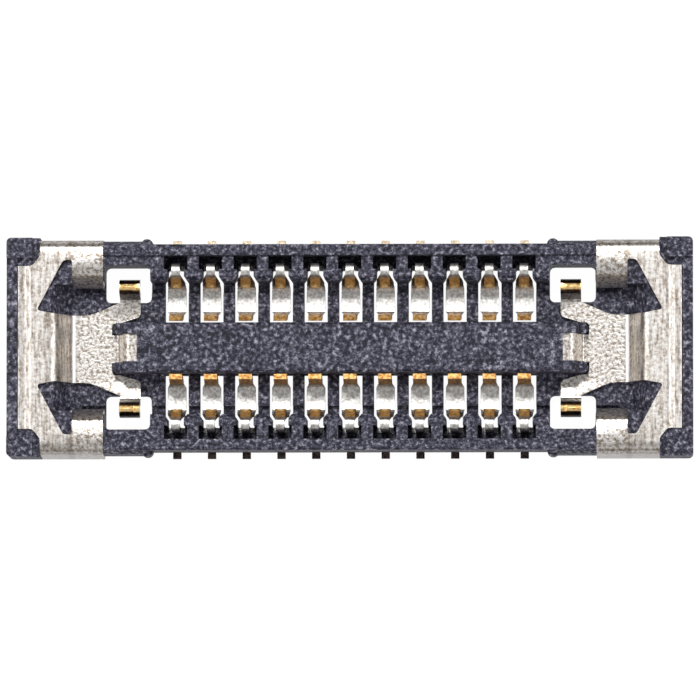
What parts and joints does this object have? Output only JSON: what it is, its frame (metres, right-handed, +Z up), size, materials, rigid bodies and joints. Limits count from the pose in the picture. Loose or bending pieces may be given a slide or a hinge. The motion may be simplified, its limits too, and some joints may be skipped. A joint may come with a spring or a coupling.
{
  "type": "fpc connector",
  "caption": "Low-profile board-to-board receptacle for a flexible printed circuit, with two rows of stamped contacts in a black moulded housing and a folded metal shell over each end",
  "frame": {"origin": "Centre of the footprint, on the plane of the circuit board that the connector is soldered to", "axes": "+X runs along the rows of contacts, +Y across the rows to the back row, +Z up from the board to the side that the mating plug enters"},
  "size_m": [0.0068, 0.0022, 0.0006],
  "materials": {
    "housing_plastic": "matte black glass-filled moulding",
    "shell_metal": "nickel-plated copper alloy strip",
    "contact_metal": "nickel-plated copper alloy strip with gold contact points"
  },
  "bodies": {
    "root": {"housing": "housing_plastic", "end_shell_left": "shell_metal", "end_shell_right": "shell_metal", "contact_back_01": "contact_metal", "contact_back_02": "contact_metal", "contact_back_03": "contact_metal", "contact_back_04": "contact_metal", "contact_back_05": "contact_metal", "contact_back_06": "contact_metal", "contact_back_07": "contact_metal", "contact_back_08": "contact_metal", "contact_back_09": "contact_metal", "contact_back_10": "contact_metal", "contact_back_11": "contact_metal", "contact_front_01": "contact_metal", "contact_front_02": "contact_metal", "contact_front_03": "contact_metal", "contact_front_04": "contact_metal", "contact_front_05": "contact_metal", "contact_front_06": "contact_metal", "contact_front_07": "contact_metal", "contact_front_08": "contact_metal", "contact_front_09": "contact_metal", "contact_front_10": "contact_metal", "contact_front_11": "contact_metal"}
  },
  "joints": []
}
